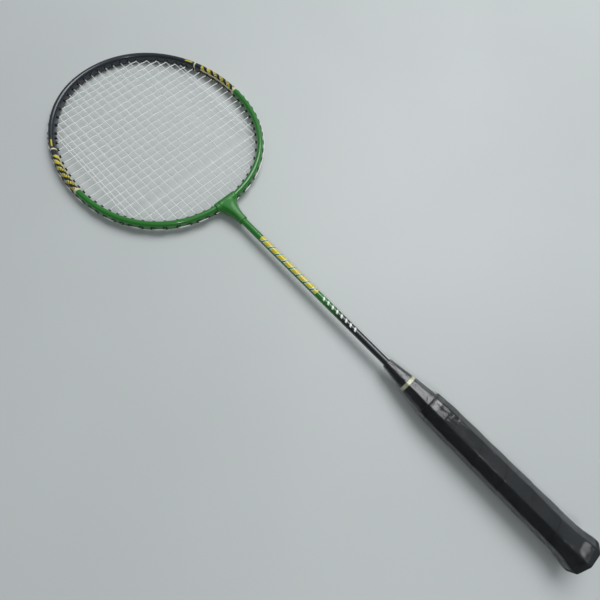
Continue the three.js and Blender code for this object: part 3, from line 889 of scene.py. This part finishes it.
hidden = {"seam_insert": plain_finish("bare_alloy", linear(190, 194, 198), 0.35, 500.0, 2e-5,
                                      0.05, Metallic=1.0),
          "handle_core": handle_wood()}
for name, material in hidden.items():
    slots = frame["nodes"][name].material_slots
    for slot in slots:
        slot.material = material

# ---------------------------------------------------------------- stage, light and camera

FLOOR_HALF = 4.0               # metres
FADE_NEAR, FADE_FAR = 0.85, 1.6
BACKDROP_LEVEL = 0.55


def make_floor():
    """A wide pale surface with a faint mottle. It fades out far from the racket, where the plain
    backdrop is seen through it."""
    mesh = bpy.data.meshes.new("table")
    half = FLOOR_HALF
    mesh.from_pydata([(-half, -half, 0), (half, -half, 0), (half, half, 0), (-half, half, 0)],
                     [], [(0, 1, 2, 3)])
    material, tree, shader = new_material("pale_table", Roughness=0.55)
    where = node(tree, "TexCoord").outputs["Object"]
    mottle = noise(tree, where, 3.0, 3.0).ramp(0.3, 0.7)
    distance = Wire(tree, node(tree, "VectorMath", {0: where}, operation="LENGTH").outputs[1])
    tree.links.new(distance.ramp(FADE_NEAR, FADE_FAR, 1.0, 0.0).socket, shader.inputs["Alpha"])
    colour = blend(tree, mottle, linear(198, 203, 203), linear(203, 208, 208))
    tree.links.new(colour, shader.inputs["Base Color"])
    mesh.materials.append(material)
    floor = bpy.data.objects.new("table", mesh)
    bpy.context.scene.collection.objects.link(floor)


def add_lamp(name, place, target, size, power):
    """A round area lamp aimed at a point."""
    lamp = bpy.data.lights.new(name, "AREA")
    lamp.shape = "DISK"
    lamp.size = size
    lamp.energy = power
    thing = bpy.data.objects.new(name, lamp)
    thing.location = place
    thing.rotation_mode = "QUATERNION"
    thing.rotation_quaternion = (Vector(target) - Vector(place)).to_track_quat("-Z", "Y")
    bpy.context.scene.collection.objects.link(thing)


def make_world():
    """Bright overhead, dim towards the horizon, and dimmest on the side away from the window.
    Seen directly it is a plain pale grey."""
    world = bpy.data.worlds.new("room")
    world.use_nodes = True
    tree = world.node_tree
    split = node(tree, "SeparateXYZ", {0: node(tree, "TexCoord").outputs["Generated"]})
    side, height = Wire(tree, split.outputs[1]), Wire(tree, split.outputs[2])
    level = height.ramp(0.0, 0.95, 0.05, 0.33) * side.ramp(-0.6, 0.8, 1.35, 0.55)
    seen = node(tree, "LightPath").outputs["Is Camera Ray"]
    strength = node(tree, "Mix", {0: seen, 2: level, 3: BACKDROP_LEVEL}, data_type="FLOAT")
    back = tree.nodes["Background"]
    back.inputs["Color"].default_value = (0.9, 0.975, 1.0, 1.0)
    tree.links.new(strength.outputs[0], back.inputs["Strength"])
    bpy.context.scene.world = world


CAMERA_PLACE = [215.81, 135.41, 387.55]
CAMERA_RIGHT = [-0.686297, -0.725031, 0.057675]
CAMERA_DOWN = [-0.691982, 0.626478, -0.358728]
CAMERA_AHEAD = [0.223956, -0.286104, -0.931659]
LENS = 444.63 / 600 * 36


def make_camera():
    data = bpy.data.cameras.new("camera")
    data.sensor_width = 36.0
    data.lens = LENS
    data.clip_start = 0.01
    camera = bpy.data.objects.new("camera", data)
    axes = np.array([CAMERA_RIGHT, -np.array(CAMERA_DOWN), -np.array(CAMERA_AHEAD)]) @ LIE
    place = np.eye(4)
    place[:3, :3] = axes.T
    place[:3, 3] = lay(CAMERA_PLACE)
    camera.matrix_world = Matrix(place.tolist())
    bpy.context.scene.collection.objects.link(camera)
    bpy.context.scene.camera = camera


make_floor()
make_world()
add_lamp("window", (0.2, -0.9, 1.5), (0.05, 0.0, 0.0), 1.3, 21.0)
add_lamp("ceiling", (-0.69, 0.61, 1.3), (-0.2, 0.0, 0.0), 0.17, 2.6)
make_camera()

scene = bpy.context.scene
scene.view_settings.view_transform = "Standard"
